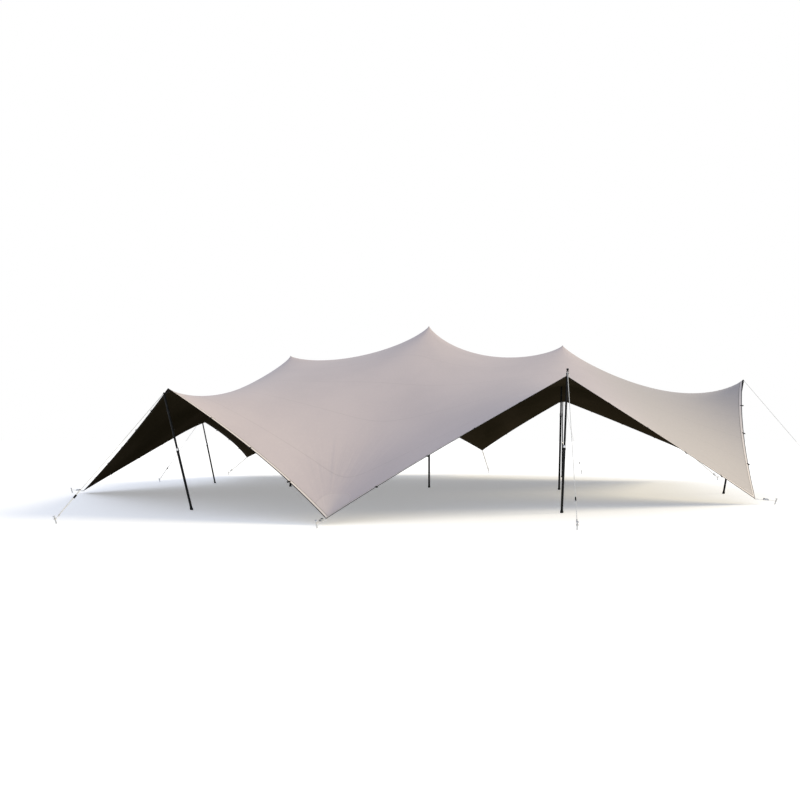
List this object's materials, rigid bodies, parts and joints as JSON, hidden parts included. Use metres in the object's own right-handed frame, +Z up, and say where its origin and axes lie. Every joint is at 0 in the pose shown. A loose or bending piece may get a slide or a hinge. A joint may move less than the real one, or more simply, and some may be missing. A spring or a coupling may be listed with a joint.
{
  "type": "stretch tent",
  "caption": "Free-form stretch tent: one tensioned fabric canopy over centre poles and leaning side poles, tied down by straps and guy ropes.",
  "frame": {"origin": "on the ground under the middle centre pole, at the middle of its foot", "axes": "+X to the right along the row of centre poles, +Y away from the front, +Z up"},
  "size_m": [23.159, 22.1579, 5.554],
  "materials": {
    "stretch_fabric": "matt taupe outside, dark brown inside",
    "black_pole": "satin black",
    "rope": "braided, pale",
    "webbing": "woven, pale",
    "steel": "dull galvanised"
  },
  "bodies": {
    "root": {"canopy": "stretch_fabric", "left_centre_pole_lower": "black_pole", "left_centre_pole_upper": "black_pole", "middle_centre_pole_lower": "black_pole", "middle_centre_pole_upper": "black_pole", "right_centre_pole_lower": "black_pole", "right_centre_pole_upper": "black_pole", "front_left_pole_lower": "black_pole", "front_left_pole_upper": "black_pole", "front_right_pole_lower": "black_pole", "front_right_pole_upper": "black_pole", "right_end_pole_lower": "black_pole", "right_end_pole_upper": "black_pole", "back_right_pole_lower": "black_pole", "back_right_pole_upper": "black_pole", "back_left_pole_lower": "black_pole", "back_left_pole_upper": "black_pole", "left_end_pole_lower": "black_pole", "left_end_pole_upper": "black_pole", "front_left_guy_rope": "rope", "front_right_guy_rope": "rope", "right_end_guy_rope": "rope", "back_right_guy_rope": "rope", "back_left_guy_rope": "rope", "left_end_guy_rope": "rope", "front_left_guy_stake": "steel", "front_right_guy_stake": "steel", "right_end_guy_stake": "steel", "back_right_guy_stake": "steel", "back_left_guy_stake": "steel", "left_end_guy_stake": "steel", "front_left_corner_strap": "webbing", "front_middle_strap": "webbing", "front_right_corner_strap": "webbing", "back_right_corner_strap": "webbing", "back_middle_strap": "webbing", "back_left_corner_strap": "webbing", "front_left_corner_anchor_stake": "steel", "front_middle_anchor_stake": "steel", "front_right_corner_anchor_stake": "steel", "back_right_corner_anchor_stake": "steel", "back_middle_anchor_stake": "steel", "back_left_corner_anchor_stake": "steel"}
  },
  "joints": []
}
